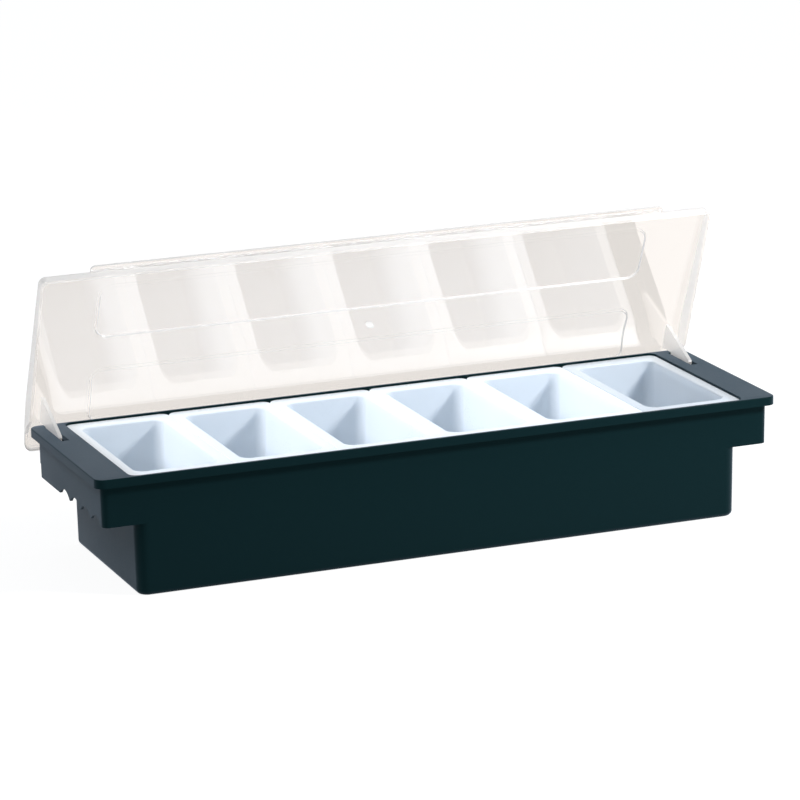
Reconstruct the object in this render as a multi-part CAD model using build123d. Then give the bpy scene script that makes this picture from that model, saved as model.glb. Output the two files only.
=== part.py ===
from build123d import *
import math
import os

# Condiment caddy: a black tub on hollow end wings, six lift-out pans, and one clear flip
# lid whose two ears pass through slots in the tub's flange and turn on small trunnions.
# Frame: X along the tub, +Y to the rear (hinge side), +Z up, origin in the middle of
# the underside. Millimetres. The lid is drawn shut, then swung open to its stop, which
# is the rest position.

# ---- tub ---------------------------------------------------------------------------
flange_corner_radius = 7.0
flange_plate = 3.5           # thickness of the flange
flange_edge_round = 0.8
lip_height = 6.0             # turned-down lip round the flange
lip_wall = 2.2
end_overhang = 4.78          # flange edge to the end wing's face
side_overhang = 4.76         # flange edge to the front and rear walls
tub_wall = 2.5
wing_wall = 1.7              # end walls of the wings
tub_floor = 3.0
tub_draft = 0.77             # degrees, every upright wall
wing_reach = 22.8            # how far each end wing stands out past the box below it
wing_height = 34.2           # flange top to the wing's open bottom edge
wing_corner_radius = 5.0
box_corner_radius = 9.0
box_foot_round = 3.5         # between the walls and the underside
well_floor_round = 3.0
notch_count = 4              # scallops in the bottom edge of each end wing, one for each finger
notch_height = 5.0
notch_tooth = 1.8            # tooth between two scallops, before its tip is rounded
notch_tip_round = 1.3
notch_rear_inset = 46.5      # wing's rear face to the rearmost scallop
notch_front_inset = 6.3      # wing's front face to the foremost scallop

# ---- pans --------------------------------------------------------------------------
pan_count = 6
pan_pitch = 74.34
pan_gap = 0.25               # between neighbouring rims
pan_length = 144.86          # front to rear over the rim
pan_depth = 70.0             # rim top to the pan's underside
pan_wall = 1.8
pan_floor = 2.0
pan_draft = 1.0              # degrees
pan_side_rim = 8.0           # rim's outer edge to the inside of the wall, left and right
pan_end_rim = 12.5           # the same at the front and the rear
pan_rim_thickness = 1.8
pan_rim_corner_radius = 6.0
pan_rim_edge_round = 0.6
pan_mouth_radius = 7.5       # upright inside corners
pan_mouth_round = 1.2        # roll of the rim into the mouth
pan_floor_round = 5.0
pan_end_gap = 0.42           # end pans' walls to the ends of the well
pan_side_gap = 6.09          # pans' walls to the front and rear of the well
ice_room = 9.9               # well's floor to the pans' undersides
rim_sink = 1.4               # rims' tops below the flange's top
rim_seat_gap = 0.3           # between the rims and the edge of the rebate they sit in
rim_seat_plate = 2.0         # flange under the rebate

# ---- hinge -------------------------------------------------------------------------
hinge_setback = 8.8          # pivot to the inside of the rear wall
hinge_drop = 18.0            # pivot below the flange top
open_angle = 68.7            # degrees from shut to the stop
trunnion_radius = 2.4
trunnion_reach = 1.6         # length inside its bearing
trunnion_gap = 0.05          # radial running clearance
trunnion_end_gap = 0.4
bearing_thickness = 3.1      # pad on the inside of the wing's end wall
bearing_radius = 7.0
ear_thickness = 2.6
ear_side_gap = 0.35          # ear to bearing, and ear to the slot's sides
ear_stop_gap = 0.3           # ear to the slot's rear end, lid open
ear_top_gap = 0.4            # ear over the flange behind the slot, lid open
ear_hub_radius = 4.2
ear_toe_reach = 22.1         # toe ahead of the pivot, lid open
ear_toe_round = 2.0
ear_apex_rise = 17.65        # top of the ear above the flange, lid open
ear_apex_setback = 12.4      # the same point behind the pivot
slot_front_gap = 0.9         # ear to the slot's front end, lid shut

# ---- lid ---------------------------------------------------------------------------
lid_overhang = 0.7           # past the flange at each end
lid_wall = 2.0
lid_rest_gap = 0.3           # under the lid's edge when shut
lid_front_height = 7.0
lid_slope = 3.0              # degrees, the panel rises to the rear
lid_curve_depth = 44.9       # rear face to where the flat panel turns into the curve
lid_crown_radius = 125.0
lid_front_setback = 3.1      # lid's front face behind the flange's front edge
lid_rear_setback = 5.35      # lid's rear face ahead of the flange's rear edge
lid_corner_radius = 5.0
lid_edge_round = 1.4
lid_swing_gap = 0.5          # lid to the flange's rear edge while it turns
tab_reach = 4.6              # finger tab ahead of the lid's front face
tab_inset = 36.1             # lid's end to the tab's end
tab_corner_radius = 3.5
tab_thickness = 1.8
field_count = 2              # raised fields that stiffen the panel
field_height = 1.0
field_end_inset = 43.9       # lid's end to the end of a field
field_front_inset = 12.95    # lid's front face to the front field
field_rear_inset = 13.35     # lid's rear face to the rear field
field_spacing = 26.6         # plain band between the fields
field_corner_radius = 10.0
field_step_angle = 40.0      # degrees off square to the panel
gate_length = 7.0            # scar of the moulding gate in the middle of the panel
gate_width = 4.0
gate_height = 0.5
gate_turn = 25.0             # degrees

cut_margin = 1.0             # cutting shapes run this far past what they cut
pick_margin = 0.01           # tolerance when edges are chosen by their place

# ---- worked out from the sizes above -----------------------------------------------
rim_length = pan_pitch - pan_gap
mouth_length = rim_length - 2 * pan_side_rim
mouth_width = pan_length - 2 * pan_end_rim
row_length = pan_count * pan_pitch - pan_gap
well_length = row_length - rim_length + mouth_length + 2 * (pan_wall + pan_end_gap)
well_width = mouth_width + 2 * (pan_wall + pan_side_gap)
box_length = well_length + 2 * tub_wall
body_width = well_width + 2 * tub_wall
wing_length = box_length + 2 * wing_reach
flange_length = wing_length + 2 * end_overhang
flange_width = body_width + 2 * side_overhang

pan_foot_z = tub_floor + ice_room
rim_seat_z = pan_foot_z + pan_depth - pan_rim_thickness
rim_seat_depth = pan_rim_thickness + rim_sink
rim_seat_length = row_length + 2 * rim_seat_gap
rim_seat_width = pan_length + 2 * rim_seat_gap
rim_seat_radius = pan_rim_corner_radius + rim_seat_gap
tub_height = rim_seat_z + rim_seat_depth              # underside to flange top
flange_under_z = tub_height - flange_plate
wing_bottom_z = tub_height - wing_height

notch_width = (body_width - notch_rear_inset - notch_front_inset + notch_tooth) / notch_count - notch_tooth
notch_pitch = notch_width + notch_tooth
notch_radius = notch_width ** 2 / (8 * notch_height) + notch_height / 2

hinge_y = well_width / 2 - hinge_setback
hinge_z = tub_height - hinge_drop
hinge_axis = Axis((0, hinge_y, hinge_z), (1, 0, 0))
bearing_face_x = wing_length / 2 - wing_wall - bearing_thickness
ear_outer_x = bearing_face_x - ear_side_gap
slot_width = ear_side_gap + ear_thickness + trunnion_reach + 2 * ear_side_gap
slot_rear_y = well_width / 2 - flange_plate * math.tan(math.radians(tub_draft))

lid_half_length = flange_length / 2 + lid_overhang
lid_front_y = lid_front_setback - flange_width / 2
lid_rear_y = flange_width / 2 - lid_rear_setback
lid_depth = lid_rear_y - lid_front_y
lid_edge_z = tub_height + lid_rest_gap
lid_skin_z = lid_edge_z + lid_front_height            # panel's outer skin at the front
lid_crown_y = lid_rear_y - lid_curve_depth
slope_angle = math.radians(lid_slope)
crown_z = lid_skin_z + (lid_crown_y - lid_front_y) * math.tan(slope_angle)
curve_centre_y = lid_crown_y + lid_crown_radius * math.sin(slope_angle)
curve_centre_z = crown_z - lid_crown_radius * math.cos(slope_angle)
lid_ceiling_z = curve_centre_z + lid_crown_radius + field_height + cut_margin
field_pitch = (lid_depth - field_front_inset - field_rear_inset + field_spacing) / field_count
field_depth = field_pitch - field_spacing             # front to rear, each field


def block(length, width, radius, top_z, depth, draft=0.0, middle_y=0.0):
    """Round-cornered block that hangs from top_z and narrows downwards by draft."""
    outline = Pos(0, middle_y, top_z) * RectangleRounded(length, width, radius)
    return extrude(outline, amount=depth, dir=(0, 0, -1), taper=draft)


def disc(x, y, z, radius, length):
    """Cylinder along X about (x, y, z)."""
    return Pos(x, y, z) * Rot(0, 90, 0) * Cylinder(radius, length)


def bottom_edges(solid):
    return solid.faces().sort_by(Axis.Z)[0].edges()


def top_edges(solid):
    return solid.faces().sort_by(Axis.Z)[-1].edges()


# ---- tub ---------------------------------------------------------------------------
def make_flange():
    flange = block(flange_length, flange_width, flange_corner_radius, tub_height, lip_height)
    flange -= block(flange_length - 2 * lip_wall, flange_width - 2 * lip_wall,
                    flange_corner_radius - lip_wall, flange_under_z, lip_height)
    flange = fillet(top_edges(flange), flange_edge_round)
    return flange + block(rim_seat_length + 2 * rim_seat_plate, flange_width - lip_wall,
                          rim_seat_radius, rim_seat_z, rim_seat_plate)


def rim_seat():
    """Rebate in the flange that the pans' rims lie in."""
    return block(rim_seat_length, rim_seat_width, rim_seat_radius, tub_height, rim_seat_depth)


def make_box():
    """Outside of the tub below and between the wings."""
    box = block(box_length, body_width, box_corner_radius, tub_height, tub_height, tub_draft)
    return fillet(bottom_edges(box), box_foot_round)


def make_well():
    """Room inside the tub: pans above, ice or cold water below them."""
    well = block(well_length, well_width, box_corner_radius - tub_wall,
                 tub_height, tub_height - tub_floor, tub_draft)
    return fillet(bottom_edges(well), well_floor_round)


def notch_y(index):
    """Middle of one scallop, counted from the rear."""
    return body_width / 2 - notch_rear_inset - notch_width / 2 - index * notch_pitch


def scallops(side):
    """Cutter for the row of shallow arches in one wing's bottom edge."""
    x = side * (wing_length - wing_wall) / 2
    depth = wing_wall + 2 * cut_margin
    arch_z = wing_bottom_z + notch_height - notch_radius
    cutter = Part()
    for index in range(notch_count):
        cutter += disc(x, notch_y(index), arch_z, notch_radius, depth)
    return cutter & Pos(x, 0, wing_bottom_z) * Box(depth, body_width, 2 * (notch_height + cut_margin))


def make_wings():
    """Skirt of both wings, open underneath, with scalloped end edges."""
    wings = block(wing_length, body_width, wing_corner_radius, tub_height, wing_height, tub_draft)
    wings -= block(wing_length - 2 * wing_wall, well_width, wing_corner_radius - tub_wall,
                   tub_height, wing_height, tub_draft)
    for side in (-1, 1):
        wings -= scallops(side)
    reach = notch_width / 2 + pick_margin
    front_y = notch_y(notch_count - 1) - reach
    rear_y = notch_y(0) + reach
    teeth = [edge for edge in wings.edges().filter_by(Axis.X)
             if edge.center().Z < wing_bottom_z + pick_margin
             and front_y < edge.center().Y < rear_y]
    return fillet(teeth, notch_tip_round)


def bearing_pad(side):
    """Pad inside the wing's end wall that carries one trunnion."""
    length = bearing_thickness + wing_wall / 2
    x = side * (bearing_face_x + length / 2)
    front_y = hinge_y - bearing_radius
    rear_y = body_width / 2 - tub_wall / 2
    foot_z = hinge_z - bearing_radius
    pad = disc(x, hinge_y, hinge_z, bearing_radius, length)
    pad += Pos(x, (front_y + rear_y) / 2, (hinge_z + flange_under_z) / 2) * Box(
        length, rear_y - front_y, flange_under_z - hinge_z)
    pad += Pos(x, (hinge_y + rear_y) / 2, (foot_z + hinge_z) / 2) * Box(
        length, rear_y - hinge_y, hinge_z - foot_z)
    return pad


def bearing_bore(side):
    length = trunnion_reach + trunnion_end_gap
    return disc(side * (bearing_face_x + length / 2), hinge_y, hinge_z,
                trunnion_radius + trunnion_gap, length)


def hinge_slot(side):
    """Slot through the flange that one ear swings in."""
    front_y = hinge_y - ear_front_reach() - slot_front_gap
    x = side * (bearing_face_x - slot_width / 2)
    return Pos(x, (front_y + slot_rear_y) / 2, tub_height) * Box(
        slot_width, slot_rear_y - front_y, 2 * (flange_plate + cut_margin))


def make_tub():
    tub = make_flange() + make_wings() + make_box() - rim_seat() - make_well()
    for side in (-1, 1):
        tub += bearing_pad(side)
        tub -= hinge_slot(side)
        tub -= bearing_bore(side)
    return tub


# ---- pans --------------------------------------------------------------------------
def make_pan():
    """One pan, drawn in the middle of the tub with its rim on the rebate's floor."""
    rim_z = rim_seat_z + pan_rim_thickness
    rim = block(rim_length, pan_length, pan_rim_corner_radius, rim_z, pan_rim_thickness)
    rim = fillet(top_edges(rim), pan_rim_edge_round)
    shell = block(mouth_length + 2 * pan_wall, mouth_width + 2 * pan_wall,
                  pan_mouth_radius + pan_wall, rim_z, pan_depth, pan_draft)
    shell = fillet(bottom_edges(shell), pan_floor_round)
    hollow = block(mouth_length, mouth_width, pan_mouth_radius, rim_z, pan_depth - pan_floor, pan_draft)
    hollow = fillet(bottom_edges(hollow), pan_floor_round - pan_wall)
    pan = rim + shell - hollow
    mouth = [edge for edge in pan.edges()
             if edge.center().Z > rim_z - pick_margin
             and abs(edge.center().X) < mouth_length / 2 + pick_margin
             and abs(edge.center().Y) < mouth_width / 2 + pick_margin]
    return fillet(mouth, pan_mouth_round)


# ---- lid ---------------------------------------------------------------------------
def panel_z(y, raised=0.0):
    """Height of the shut panel's outer skin at y, or of its offset by raised."""
    if y < lid_crown_y - raised * math.sin(slope_angle):
        return lid_skin_z + (y - lid_front_y) * math.tan(slope_angle) + raised / math.cos(slope_angle)
    return curve_centre_z + math.sqrt((lid_crown_radius + raised) ** 2 - (y - curve_centre_y) ** 2)


def under_panel(raised, foot_z):
    """Everything from foot_z up to the panel's skin or its offset, over the lid's plan."""
    crown_y = lid_crown_y - raised * math.sin(slope_angle)
    stations = (lid_front_y, crown_y, (crown_y + lid_rear_y) / 2, lid_rear_y)
    front, crown, middle, rear = [(y, panel_z(y, raised)) for y in stations]
    outline = Polyline((lid_rear_y, foot_z), (lid_front_y, foot_z), front, crown)
    outline += ThreePointArc(crown, middle, rear) + Line(rear, (lid_rear_y, foot_z))
    return extrude(Plane.YZ * make_face(outline), amount=lid_half_length, both=True)


def field_block(index, widen):
    """Block with sloping sides over one raised field, true to size at the panel's skin."""
    front_y = lid_front_y + field_front_inset + index * field_pitch
    rear_y = front_y + field_depth
    tilt = math.degrees(math.atan2(panel_z(rear_y) - panel_z(front_y), field_depth))
    middle_z = (panel_z(front_y) + panel_z(rear_y)) / 2
    half_height = lid_wall + field_height + cut_margin
    spread = half_height * math.tan(math.radians(field_step_angle)) + widen
    outline = RectangleRounded(2 * (lid_half_length - field_end_inset + spread),
                               field_depth + 2 * spread, field_corner_radius + spread)
    place = Pos(0, (front_y + rear_y) / 2, middle_z) * Rot(tilt, 0, 0) * Pos(0, 0, -half_height)
    return place * extrude(outline, amount=2 * half_height, taper=field_step_angle)


def make_tab():
    """Finger tab along the front edge, level with the panel."""
    length = 2 * (lid_half_length - tab_inset)
    depth = tab_reach + lid_wall
    outline = Pos(0, lid_front_y - tab_reach + depth / 2) * Rectangle(length, depth)
    outline = fillet(outline.vertices().group_by(Axis.Y)[0], tab_corner_radius)
    return extrude(Pos(0, 0, lid_skin_z) * outline, amount=tab_thickness, dir=(0, 0, -1))


def make_gate():
    """Low oval scar of the moulding gate, over the middle of the tub."""
    outline = Rot(0, 0, gate_turn) * Ellipse(gate_length / 2, gate_width / 2)
    scar = extrude(Pos(0, 0, panel_z(0) - lid_wall / 2) * outline, amount=lid_wall)
    return scar & under_panel(gate_height, lid_edge_z)


def make_cover():
    """Panel, low walls, raised fields and tab of the shut lid, without the ears."""
    middle_y = (lid_front_y + lid_rear_y) / 2
    rise = lid_ceiling_z - lid_edge_z
    outer = under_panel(0, lid_edge_z) & block(
        2 * lid_half_length, lid_depth, lid_corner_radius, lid_ceiling_z, rise, 0, middle_y)
    skin = [edge for edge in outer.edges().filter_by(Axis.Z, reverse=True)
            if edge.center().Z > lid_edge_z + pick_margin]
    outer = fillet(skin, lid_edge_round)
    inner = under_panel(-lid_wall, lid_edge_z - cut_margin) & block(
        2 * (lid_half_length - lid_wall), lid_depth - 2 * lid_wall, lid_corner_radius - lid_wall,
        lid_ceiling_z, rise + cut_margin, 0, middle_y)
    step = lid_wall / math.cos(math.radians(field_step_angle))
    for index in range(field_count):
        outer += field_block(index, 0) & under_panel(field_height, lid_edge_z)
        inner += field_block(index, -step) & under_panel(field_height - lid_wall, lid_edge_z)
    swing = flange_edge_round + lid_swing_gap + math.hypot(
        flange_width / 2 - flange_edge_round - hinge_y, hinge_drop - flange_edge_round)
    inner += disc(0, hinge_y, hinge_z, swing, 2 * (lid_half_length + cut_margin))
    return outer - inner + make_tab() + make_gate()


def ear_front_reach():
    """How far the ear stands ahead of the pivot when the lid is shut."""
    turn = math.radians(open_angle)
    return (hinge_drop + ear_apex_rise) * math.sin(turn) - ear_apex_setback * math.cos(turn)


def make_ear(side):
    """One ear with its trunnion, drawn with the lid open, on past the panel."""
    toe = (-ear_toe_reach, hinge_drop)
    apex = (ear_apex_setback, hinge_drop + ear_apex_rise)
    overrun = 0.25           # the front edge is drawn longer by this share, and trimmed later
    beyond = (apex[0] + overrun * (apex[0] - toe[0]), apex[1] + overrun * (apex[1] - toe[1]))
    stop_y = slot_rear_y - ear_stop_gap - hinge_y
    shelf = hinge_drop + ear_top_gap
    toe_distance = math.hypot(*toe)
    toe_angle = math.atan2(toe[1], toe[0]) + math.acos(ear_hub_radius / toe_distance)
    tangent = (ear_hub_radius * math.cos(toe_angle), ear_hub_radius * math.sin(toe_angle))
    outline = make_face(Polyline((ear_hub_radius, 0), (stop_y, shelf), (beyond[0] + ear_apex_rise / 2, shelf),
                                 beyond, toe, tangent, (0, 0), close=True))
    corner = outline.vertices().sort_by(Axis.X)[0]
    outline = fillet(corner, ear_toe_round) + Circle(ear_hub_radius)
    plate = extrude(Plane.YZ * outline, amount=ear_thickness / 2, both=True)
    plate = Pos(side * (ear_outer_x - ear_thickness / 2), hinge_y, hinge_z) * plate
    reach = ear_side_gap + trunnion_reach
    trunnion = disc(side * (ear_outer_x + reach / 2), hinge_y, hinge_z, trunnion_radius, reach)
    return plate + trunnion


def make_lid():
    lid = make_cover()
    below_panel = under_panel(-lid_wall / 2, -tub_height)
    for side in (-1, 1):
        lid += make_ear(side).rotate(hinge_axis, open_angle) & below_panel
    return lid.rotate(hinge_axis, -open_angle)


def main():
    os.makedirs("parts", exist_ok=True)
    export_step(make_tub(), "parts/base_tub.step")
    pan = make_pan()
    for index in range(pan_count):
        x = (index - (pan_count - 1) / 2) * pan_pitch
        export_step(Pos(x, 0, 0) * pan, f"parts/pan_{index + 1}.step")
    export_step(make_lid(), "parts/lid.step")


main()
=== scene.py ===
import math
import bmesh
import bpy
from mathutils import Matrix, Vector


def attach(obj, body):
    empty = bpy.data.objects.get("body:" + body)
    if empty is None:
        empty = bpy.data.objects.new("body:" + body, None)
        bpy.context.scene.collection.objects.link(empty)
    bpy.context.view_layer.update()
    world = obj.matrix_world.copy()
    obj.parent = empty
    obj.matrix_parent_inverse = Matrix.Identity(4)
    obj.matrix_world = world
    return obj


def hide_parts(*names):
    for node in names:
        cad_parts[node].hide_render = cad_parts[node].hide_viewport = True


# Condiment caddy: a dark satin tub, six white lift-out pans and one clear flip lid.
# Metres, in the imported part's frame: X along the tub, +Y to the hinge, +Z up.

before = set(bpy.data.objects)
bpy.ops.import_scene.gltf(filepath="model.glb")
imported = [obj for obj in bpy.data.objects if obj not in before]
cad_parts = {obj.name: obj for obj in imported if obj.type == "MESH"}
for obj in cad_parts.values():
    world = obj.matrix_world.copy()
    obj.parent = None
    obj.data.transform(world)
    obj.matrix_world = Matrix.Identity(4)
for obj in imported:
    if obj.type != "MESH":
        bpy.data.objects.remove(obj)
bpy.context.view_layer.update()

MM = 0.001
WHITE = (1.0, 1.0, 1.0, 1.0)

# ---- camera, at the photograph's viewing angle ---------------------------------------
# An azimuth of 0 is in front of the caddy, and one of 90 degrees is at its right.
AZIMUTH = math.radians(-21.89)
ELEVATION = math.radians(14.89)
ROLL = math.radians(-1.02)
DISTANCE = 2.7762
TARGET = Vector((-0.00395, 0.0, 0.09276))
SENSOR_WIDTH = 36.0          # millimetres
FOCAL_LENGTH = 182.06        # millimetres
NEAREST_SEEN = 0.1
FARTHEST_SEEN = 100.0

# ---- lamps ---------------------------------------------------------------------------
KEY_PLACE = Vector((0.70, -0.62, 0.71))
KEY_AIM = Vector((0.0, 0.0, 0.08))
KEY_SIZE = 0.22
KEY_POWER = 9.6              # watts
LEFT_AZIMUTH = math.radians(-80.0)
LEFT_ELEVATION = math.radians(52.0)
LEFT_STRENGTH = 0.85
GLOW_AZIMUTH = math.radians(-90.0)
GLOW_ELEVATION = math.radians(35.0)
GLOW_STRENGTH = 2.4
GLOW_COLOUR = (1.0, 0.96, 0.91)
SUN_SPREAD = math.radians(25.0)

# ---- surroundings --------------------------------------------------------------------
SKY_COLOUR = (0.78, 0.89, 1.0, 1.0)         # soft light from all round
SKY_STRENGTH = 0.23
FLOOR_RADIUS = 30.0
FLOOR_SIDES = 96
FLOOR_COLOUR = (0.8, 0.8, 0.8, 1.0)         # as it lights the caddy
SEEN_FLOOR_COLOUR = (0.28, 0.28, 0.28, 1.0)  # as it is seen: the part that shadows darken,
SEEN_FLOOR_GLOW = 0.88                      # and the part that brings it up to white

# ---- pieces and finishes -------------------------------------------------------------
PAN_COUNT = 6
WELD_REACH = 0.002 * MM
CREASE_ANGLE = math.radians(32.0)           # an edge that turns more than this stays sharp

GRAIN_STRENGTH = 0.12
GRAIN_DETAIL = 2.0
CLOUD_SCALE = 14.0           # faint handling marks, this many to a metre
CLOUD_DETAIL = 4.0
SMOOTH_BELOW = 0.1           # grain times cloud, at the smoothest and at the roughest
ROUGH_ABOVE = 0.4

TUB_COLOUR = (0.001, 0.015, 0.017, 1.0)
TUB_IOR = 1.10
TUB_SHEEN = 0.5
TUB_SHEEN_COLOUR = (0.62, 0.76, 1.0, 1.0)
TUB_SHEEN_ROUGHNESS = 0.4
TUB_GRAIN = 0.7 * MM
TUB_GRAIN_DEPTH = 0.05 * MM
TUB_SMOOTHEST = 0.36
TUB_ROUGHEST = 0.50

PAN_COLOUR = (0.84, 0.90, 0.96, 1.0)
PAN_IOR = 1.45
PAN_GRAIN = 1.1 * MM
PAN_GRAIN_DEPTH = 0.02 * MM
PAN_SMOOTHEST = 0.26
PAN_ROUGHEST = 0.38
PAN_GLOW = 0.3               # share of the light on a pan that passes into its thin wall
PAN_SHADE = (0.36, 0.38, 0.41, 1.0)         # what each surface of a pan lets through to a shadow

LID_COLOUR = (0.925, 0.87, 0.82, 1.0)
LID_ROUGHNESS = 0.02
LID_SHADE = (0.93, 0.93, 0.93, 1.0)         # what each surface of the lid lets through to a shadow
PANEL_IOR = 1.01             # so low that the thin panel doesn't bend a line of sight
PANEL_COAT_IOR = 1.98        # so high that the panel mirrors the row of pans
LENS_IOR = 1.49              # where a step or an edge bends what is behind it
# painted highlight: white on the lid's clear steps, walls and ears, for the light that they catch
PAINTED_EDGE_WHITE = (0.92, 0.92, 0.92, 1.0)
EDGE_ROUGHNESS = 0.25
EDGE_IOR = 1.5
EDGE_THROUGH = 0.4           # share of an edge's white that comes from light behind it
PAINTED_EDGE_SHARE = 0.68            # share of painted white on the lid's steps and edges, standing in for the light they catch
PAINTED_SIDE_SHARE = 0.6             # the same for its ears and end walls
SIDE_FROM = 0.80             # size of the normal's X where the ears' and end walls' share starts
SIDE_FULL = 0.95
PAINTED_OUTLINE_SHADE = (0.70, 0.68, 0.67, 1.0)    # painted shade: clear edges seen nearly side on, darkened for what they bend into view
OUTLINE_REACH = 0.16
OPEN_ANGLE = math.radians(68.7)             # the lid's turn from shut to the rest position
PANEL_LEAN = math.radians(7.4)              # the shut panel's middle normal, leaning to the rear
PANEL_COSINE = 0.98          # least cosine between that normal and one on the panel
STEP_COSINE = 0.95           # greatest cosine between that normal and one on a wall or a step
CURVE_TOP = 0.116            # height where the panel's curve starts to tighten
CURVE_FOOT = 0.086
CURVE_RISE = 2.2 * MM
CURVE_POWER = 2.0
GATE_PLACE = (0.0, 0.0652, 0.1317)          # scar of the moulding gate, on the open lid
GATE_TURN = math.radians(25.0)
GATE_LENGTH = 7.0 * MM
GATE_WIDTH = 4.0 * MM


# ---- small helpers -------------------------------------------------------------------
def new_material(name):
    """An empty node material, and its node tree."""
    material = bpy.data.materials.new(name)
    material.use_nodes = True
    material.node_tree.nodes.clear()
    return material, material.node_tree


def feed(socket, value):
    """Link a node's output to a socket, or set the socket to a plain value."""
    if isinstance(value, bpy.types.NodeSocket):
        socket.id_data.links.new(value, socket)
    else:
        socket.default_value = value


def feed_by_name(made, sockets):
    """Feed a node's sockets by their names, in which underscores stand for spaces."""
    for name, value in sockets.items():
        feed(made.inputs[name.replace("_", " ")], value)


def node(tree, kind, *values, operation=None, **sockets):
    """A new node, with its first sockets fed in their order and others by name."""
    made = tree.nodes.new(kind)
    if operation:
        made.operation = operation
    for socket, value in zip(made.inputs, values):
        feed(socket, value)
    feed_by_name(made, sockets)
    return made


def maths(tree, operation, *values):
    """Output of a Math node."""
    return node(tree, "ShaderNodeMath", *values, operation=operation).outputs[0]


def shader(tree, kind, **sockets):
    """Output of a shader node."""
    return node(tree, kind, **sockets).outputs[0]


def mixed(tree, share, first, second):
    """Mix of two shaders: all of the first at a share of 0, all of the second at 1."""
    return node(tree, "ShaderNodeMixShader", share, first, second).outputs[0]


def clear_to_shadows(tree, body, shade):
    """A shader that shadow rays pass through, dimmed by the shade at each surface."""
    rays = node(tree, "ShaderNodeLightPath")
    clear = shader(tree, "ShaderNodeBsdfTransparent", Color=shade)
    return mixed(tree, rays.outputs["Is Shadow Ray"], body, clear)


def from_angles(azimuth, elevation):
    """Unit vector that points from the caddy towards a camera or a lamp."""
    return Vector((math.sin(azimuth) * math.cos(elevation),
                   -math.cos(azimuth) * math.cos(elevation),
                   math.sin(elevation)))


# ---- moulded plastic: the tub and the pans -------------------------------------------
def moulded_surface():
    """Node group: roughness and normal of a moulded plastic surface, from its grain and its scuffs."""
    group = bpy.data.node_groups.new("moulded_surface", "ShaderNodeTree")
    for name in ("Grain Size", "Grain Depth", "Smoothest", "Roughest"):
        group.interface.new_socket(name, in_out="INPUT", socket_type="NodeSocketFloat")
    group.interface.new_socket("Roughness", in_out="OUTPUT", socket_type="NodeSocketFloat")
    group.interface.new_socket("Normal", in_out="OUTPUT", socket_type="NodeSocketVector")
    given = node(group, "NodeGroupInput").outputs
    place = node(group, "ShaderNodeTexCoord").outputs["Object"]
    grain_scale = maths(group, "DIVIDE", 1.0, given["Grain Size"])
    grain = node(group, "ShaderNodeTexNoise", Vector=place, Scale=grain_scale, Detail=GRAIN_DETAIL).outputs[0]
    cloud = node(group, "ShaderNodeTexNoise", Vector=place, Scale=CLOUD_SCALE, Detail=CLOUD_DETAIL).outputs[0]
    rough = node(group, "ShaderNodeMapRange", Value=maths(group, "MULTIPLY", grain, cloud),
                 From_Min=SMOOTH_BELOW, From_Max=ROUGH_ABOVE,
                 To_Min=given["Smoothest"], To_Max=given["Roughest"])
    bump = node(group, "ShaderNodeBump", Strength=GRAIN_STRENGTH, Distance=given["Grain Depth"], Height=grain)
    node(group, "NodeGroupOutput", Roughness=rough.outputs[0], Normal=bump.outputs["Normal"])
    return group


def moulded(tree, group, **values):
    """Roughness and normal sockets of one use of the moulded surface in a material."""
    surface = tree.nodes.new("ShaderNodeGroup")
    surface.node_tree = group
    feed_by_name(surface, values)
    return surface.outputs["Roughness"], surface.outputs["Normal"]


def tub_plastic(group):
    """Near-black teal plastic with a fine moulded grain that softens its sheen."""
    material, tree = new_material("satin_tub_plastic")
    roughness, normal = moulded(tree, group, Grain_Size=TUB_GRAIN, Grain_Depth=TUB_GRAIN_DEPTH,
                                Smoothest=TUB_SMOOTHEST, Roughest=TUB_ROUGHEST)
    body = shader(tree, "ShaderNodeBsdfPrincipled", Base_Color=TUB_COLOUR, IOR=TUB_IOR,
                  Roughness=roughness, Normal=normal, Sheen_Weight=TUB_SHEEN,
                  Sheen_Roughness=TUB_SHEEN_ROUGHNESS, Sheen_Tint=TUB_SHEEN_COLOUR)
    node(tree, "ShaderNodeOutputMaterial", Surface=body)
    return material


def pan_plastic(group):
    """White plastic thin enough for some light to pass through it."""
    material, tree = new_material("white_pan_plastic")
    roughness, normal = moulded(tree, group, Grain_Size=PAN_GRAIN, Grain_Depth=PAN_GRAIN_DEPTH,
                                Smoothest=PAN_SMOOTHEST, Roughest=PAN_ROUGHEST)
    skin = shader(tree, "ShaderNodeBsdfPrincipled", Base_Color=PAN_COLOUR, IOR=PAN_IOR,
                  Roughness=roughness, Normal=normal)
    through = shader(tree, "ShaderNodeBsdfTranslucent", Color=PAN_COLOUR)
    body = mixed(tree, PAN_GLOW, skin, through)
    node(tree, "ShaderNodeOutputMaterial", Surface=clear_to_shadows(tree, body, PAN_SHADE))
    return material


# ---- clear plastic: the lid ----------------------------------------------------------
def off_panel_masks(tree):
    """Two values from the lid's normal: 0 on its panel and 1 on its walls, ears and steps, and
    how much painted white, for the light they catch, such a place gets."""
    turn = OPEN_ANGLE + PANEL_LEAN
    normal = node(tree, "ShaderNodeTexCoord").outputs["Normal"]
    along = node(tree, "ShaderNodeVectorMath", normal, (0.0, math.sin(turn), math.cos(turn)),
                 operation="DOT_PRODUCT")
    mask = node(tree, "ShaderNodeMapRange", Value=maths(tree, "ABSOLUTE", along.outputs["Value"]),
                From_Min=PANEL_COSINE, From_Max=STEP_COSINE)
    axes = node(tree, "ShaderNodeSeparateXYZ", normal)
    share = node(tree, "ShaderNodeMapRange", Value=maths(tree, "ABSOLUTE", axes.outputs["X"]),
                 From_Min=SIDE_FROM, From_Max=SIDE_FULL, To_Min=PAINTED_EDGE_SHARE, To_Max=PAINTED_SIDE_SHARE)
    return mask.outputs[0], share.outputs[0]


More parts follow.
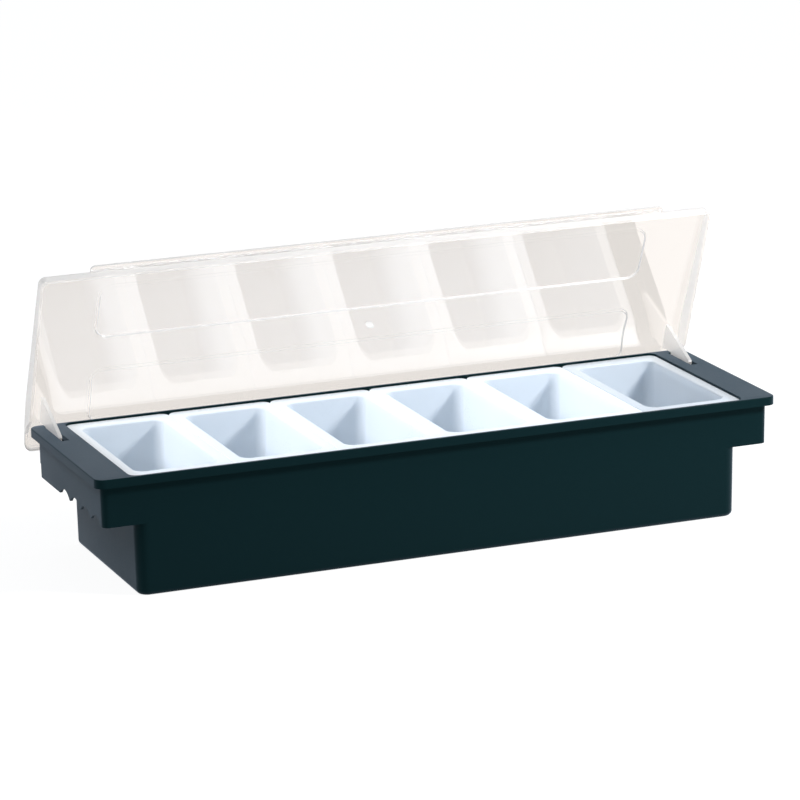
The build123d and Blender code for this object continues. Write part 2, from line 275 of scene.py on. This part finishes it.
def gate_mask(tree):
    """1 on the oval scar of the moulding gate, and 0 elsewhere."""
    place = node(tree, "ShaderNodeTexCoord").outputs["Object"]
    laid_flat = node(tree, "ShaderNodeMapping", Vector=place, Location=GATE_PLACE,
                     Rotation=(-OPEN_ANGLE, 0.0, 0.0))
    oval = node(tree, "ShaderNodeMapping", Vector=laid_flat.outputs[0], Rotation=(0.0, 0.0, GATE_TURN),
                Scale=(GATE_LENGTH / 2, GATE_WIDTH / 2, GATE_LENGTH))
    laid_flat.vector_type = "TEXTURE"
    oval.vector_type = "TEXTURE"
    reach = node(tree, "ShaderNodeVectorMath", oval.outputs[0], operation="LENGTH")
    return maths(tree, "LESS_THAN", reach.outputs["Value"], 1.0)


def hinge_end_curve(tree):
    """Normal of the panel's curve, which tightens over its last stretch above the hinge."""
    place = node(tree, "ShaderNodeTexCoord").outputs["Object"]
    axes = node(tree, "ShaderNodeSeparateXYZ", place)
    depth = node(tree, "ShaderNodeMapRange", Value=axes.outputs["Z"], From_Min=CURVE_TOP, From_Max=CURVE_FOOT)
    rise = maths(tree, "POWER", depth.outputs[0], CURVE_POWER)
    return node(tree, "ShaderNodeBump", Strength=1.0, Distance=CURVE_RISE, Height=rise).outputs["Normal"]


def clear_panel(tree, plain):
    """Clear panel with a mirror gloss, which turns white and loses its gloss where plain is 1."""
    tint = node(tree, "ShaderNodeMixRGB", Fac=plain, Color1=LID_COLOUR, Color2=WHITE)
    return shader(tree, "ShaderNodeBsdfPrincipled", Base_Color=tint.outputs[0], Roughness=LID_ROUGHNESS,
                  IOR=PANEL_IOR, Transmission_Weight=1.0, Coat_Weight=maths(tree, "SUBTRACT", 1.0, plain),
                  Coat_Roughness=LID_ROUGHNESS, Coat_IOR=PANEL_COAT_IOR, Coat_Normal=hinge_end_curve(tree))


def bright_edge(tree, share):
    """Walls, ears and steps painted white for the light that they catch, with a painted dark outline where
    seen side on.
    """
    skin = shader(tree, "ShaderNodeBsdfPrincipled", Base_Color=PAINTED_EDGE_WHITE, Roughness=EDGE_ROUGHNESS,
                  IOR=EDGE_IOR)
    through = shader(tree, "ShaderNodeBsdfTranslucent", Color=PAINTED_EDGE_WHITE)
    lens = shader(tree, "ShaderNodeBsdfPrincipled", Base_Color=LID_COLOUR, Roughness=LID_ROUGHNESS,
                  IOR=LENS_IOR, Transmission_Weight=1.0)
    # painted shade on edges seen side on, for the darker things that clear edges bend into view
    outline = shader(tree, "ShaderNodeBsdfPrincipled", Base_Color=PAINTED_OUTLINE_SHADE, Roughness=EDGE_ROUGHNESS,
                     IOR=EDGE_IOR)
    side_on = node(tree, "ShaderNodeLayerWeight", Blend=OUTLINE_REACH).outputs["Facing"]
    bright = mixed(tree, share, lens, mixed(tree, EDGE_THROUGH, skin, through))
    return mixed(tree, side_on, bright, outline)


def clear_plastic():
    """Clear glossy plastic, with painted white where its edges and steps catch the light."""
    material, tree = new_material("clear_lid_plastic")
    mask, share = off_panel_masks(tree)
    plain = maths(tree, "MAXIMUM", mask, gate_mask(tree))
    body = mixed(tree, mask, clear_panel(tree, plain), bright_edge(tree, share))
    node(tree, "ShaderNodeOutputMaterial", Surface=clear_to_shadows(tree, body, LID_SHADE))
    return material


# ---- the caddy -----------------------------------------------------------------------
def dress(node_name, piece_name, body, material):
    """A smooth-shaded, welded copy of one CAD solid that stands in its place."""
    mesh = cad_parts[node_name].data.copy()
    mesh.name = piece_name
    shape = bmesh.new()
    shape.from_mesh(mesh)
    bmesh.ops.remove_doubles(shape, verts=shape.verts, dist=WELD_REACH)
    for face in shape.faces:
        face.smooth = True
    for edge in shape.edges:
        edge.smooth = edge.calc_face_angle(0.0) < CREASE_ANGLE
    shape.to_mesh(mesh)
    shape.free()
    mesh.materials.clear()
    mesh.materials.append(material)
    piece = bpy.data.objects.new(piece_name, mesh)
    bpy.context.scene.collection.objects.link(piece)
    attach(piece, body)
    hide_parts(node_name)
    return piece


def make_caddy():
    """Tub, pans and lid. Returns the pans, from the left."""
    group = moulded_surface()
    dress("base_tub", "tub_shell", "tub", tub_plastic(group))
    white = pan_plastic(group)
    pans = [dress(f"pan_{number}", f"pan_insert_{number}", f"pan_{number}", white)
            for number in range(1, PAN_COUNT + 1)]
    dress("lid", "lid_shell", "lid", clear_plastic())
    return pans


# ---- studio --------------------------------------------------------------------------
def seen_rays(tree):
    """1 for rays from the camera, from glossy surfaces and through clear ones, else 0."""
    rays = node(tree, "ShaderNodeLightPath").outputs
    seen = maths(tree, "MAXIMUM", rays["Is Camera Ray"], rays["Is Glossy Ray"])
    return maths(tree, "MAXIMUM", seen, rays["Is Transmission Ray"])


def make_world():
    """Soft bluish light all round, which looks white where it is seen or mirrored."""
    world = bpy.data.worlds.new("studio_white")
    world.use_nodes = True
    tree = world.node_tree
    tree.nodes.clear()
    soft = shader(tree, "ShaderNodeBackground", Color=SKY_COLOUR, Strength=SKY_STRENGTH)
    white = shader(tree, "ShaderNodeBackground", Color=WHITE, Strength=1.0)
    node(tree, "ShaderNodeOutputWorld", Surface=mixed(tree, seen_rays(tree), soft, white))
    bpy.context.scene.world = world


def make_floor():
    """Wide round floor that looks white and keeps the caddy's shadow."""
    material, tree = new_material("studio_floor")
    paper = shader(tree, "ShaderNodeBsdfDiffuse", Color=FLOOR_COLOUR)
    shaded = shader(tree, "ShaderNodeBsdfDiffuse", Color=SEEN_FLOOR_COLOUR)
    glow = shader(tree, "ShaderNodeEmission", Color=WHITE, Strength=SEEN_FLOOR_GLOW)
    seen = node(tree, "ShaderNodeAddShader", shaded, glow).outputs[0]
    node(tree, "ShaderNodeOutputMaterial", Surface=mixed(tree, seen_rays(tree), paper, seen))
    mesh = bpy.data.meshes.new("studio_floor")
    shape = bmesh.new()
    bmesh.ops.create_circle(shape, cap_ends=True, radius=FLOOR_RADIUS, segments=FLOOR_SIDES)
    shape.to_mesh(mesh)
    shape.free()
    mesh.materials.append(material)
    floor = bpy.data.objects.new("studio_floor", mesh)
    bpy.context.scene.collection.objects.link(floor)


def add_lamp(lamp, towards, place):
    """Put a lamp at a place, shining from the direction that towards points in."""
    holder = bpy.data.objects.new(lamp.name, lamp)
    holder.rotation_euler = towards.to_track_quat("Z", "Y").to_euler()
    holder.location = place
    bpy.context.scene.collection.objects.link(holder)
    return holder


def make_soft_box():
    """Near lamp at the right, so that the light falls off along the row of pans."""
    lamp = bpy.data.lights.new("key_soft_box", "AREA")
    lamp.shape = "DISK"
    lamp.size = KEY_SIZE
    lamp.energy = KEY_POWER
    add_lamp(lamp, KEY_PLACE - KEY_AIM, KEY_PLACE)


def make_sun(name, azimuth, elevation, strength):
    """Far lamp with soft-edged shadows."""
    lamp = bpy.data.lights.new(name, "SUN")
    lamp.energy = strength
    lamp.angle = SUN_SPREAD
    return add_lamp(lamp, from_angles(azimuth, elevation), Vector())


def make_pan_glow(pans):
    """Extra light from the left on all pans but the last, mostly on their right walls. It stands
    in for light that seems to pass through the next pan's thin walls. The last pan has none."""
    sun = make_sun("pan_glow", GLOW_AZIMUTH, GLOW_ELEVATION, GLOW_STRENGTH)
    sun.data.color = GLOW_COLOUR
    lit = bpy.data.collections.new("pans_with_a_neighbour")
    for pan in pans[:-1]:
        lit.objects.link(pan)
    sun.light_linking.receiver_collection = lit


def make_camera():
    """Camera that looks at its target from the photograph's side, with its slight roll."""
    lens = bpy.data.cameras.new("camera")
    lens.sensor_width = SENSOR_WIDTH
    lens.lens = FOCAL_LENGTH
    lens.clip_start = NEAREST_SEEN
    lens.clip_end = FARTHEST_SEEN
    camera = bpy.data.objects.new("camera", lens)
    back = from_angles(AZIMUTH, ELEVATION)
    level = back.to_track_quat("Z", "Y").to_matrix()
    right = level.col[0].copy()
    up = level.col[1].copy()
    turned_right = right * math.cos(ROLL) + up * math.sin(ROLL)
    turned_up = up * math.cos(ROLL) - right * math.sin(ROLL)
    place = TARGET + back * DISTANCE
    matrix = level.to_4x4()
    for row in range(3):
        matrix[row][0] = turned_right[row]
        matrix[row][1] = turned_up[row]
        matrix[row][3] = place[row]
    camera.matrix_world = matrix
    bpy.context.scene.collection.objects.link(camera)
    bpy.context.scene.camera = camera


all_pans = make_caddy()
make_world()
make_floor()
make_soft_box()
make_sun("left_lamp", LEFT_AZIMUTH, LEFT_ELEVATION, LEFT_STRENGTH)
make_pan_glow(all_pans)
make_camera()
bpy.context.scene.view_settings.view_transform = "Standard"
